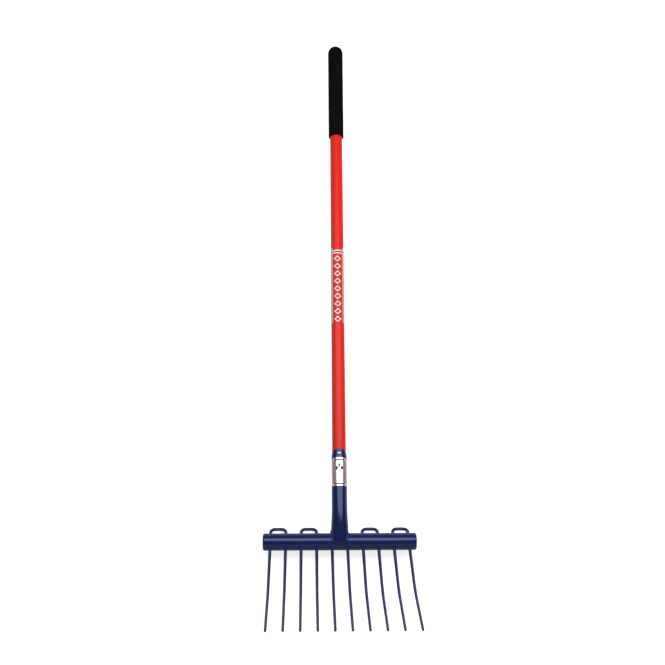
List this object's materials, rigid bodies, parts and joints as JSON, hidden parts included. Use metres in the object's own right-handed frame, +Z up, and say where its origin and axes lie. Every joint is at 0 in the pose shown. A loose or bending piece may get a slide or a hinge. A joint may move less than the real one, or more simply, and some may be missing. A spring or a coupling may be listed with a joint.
{
  "type": "manure fork",
  "caption": "Long-handled manure fork: curved round tines through a tubular head bar, hairpin loops behind it, a welded and riveted socket, a smooth plastic shaft and a round-ended rubber grip.",
  "frame": {"origin": "on the floor that the fork lies on, below the middle of its length and width", "axes": "+Y along the fork from the tines to the hand grip, +X along the head bar, +Z up from the floor; the fork lies on its back, so the shaft dips to the grip by one and a quarter degrees"},
  "size_m": [0.362, 1.5284, 0.3129],
  "materials": {
    "grip_rubber": "matte black moulded rubber",
    "jacket_plastic": "smooth red polypropylene with a soft gloss",
    "core_glass_fibre": "drawn glass-fibre tube",
    "plug_plastic": "moulded grey plastic",
    "decal_film": "printed film",
    "label_film": "white and silver sticker",
    "head_paint": "navy blue powder coat with a soft gloss",
    "tine_paint": "navy blue powder coat on steel rod",
    "rivet_steel": "bright domed rivet"
  },
  "bodies": {
    "root": {"hand_grip": "grip_rubber", "end_plug": "plug_plastic", "handle_jacket": "jacket_plastic", "handle_core": "core_glass_fibre", "core_plug": "plug_plastic", "shaft_decal": "decal_film", "socket": "head_paint", "socket_rivet": "rivet_steel", "socket_label": "label_film", "socket_weld": "head_paint", "head_bar": "head_paint", "bar_end_cap_left": "head_paint", "bar_end_cap_right": "head_paint", "tine_hairpin_1": "tine_paint", "tine_hairpin_2": "tine_paint", "tine_hairpin_3": "tine_paint", "tine_hairpin_4": "tine_paint", "tine_hairpin_5": "tine_paint", "tine_welds": "head_paint", "loop_welds": "head_paint"}
  },
  "joints": []
}
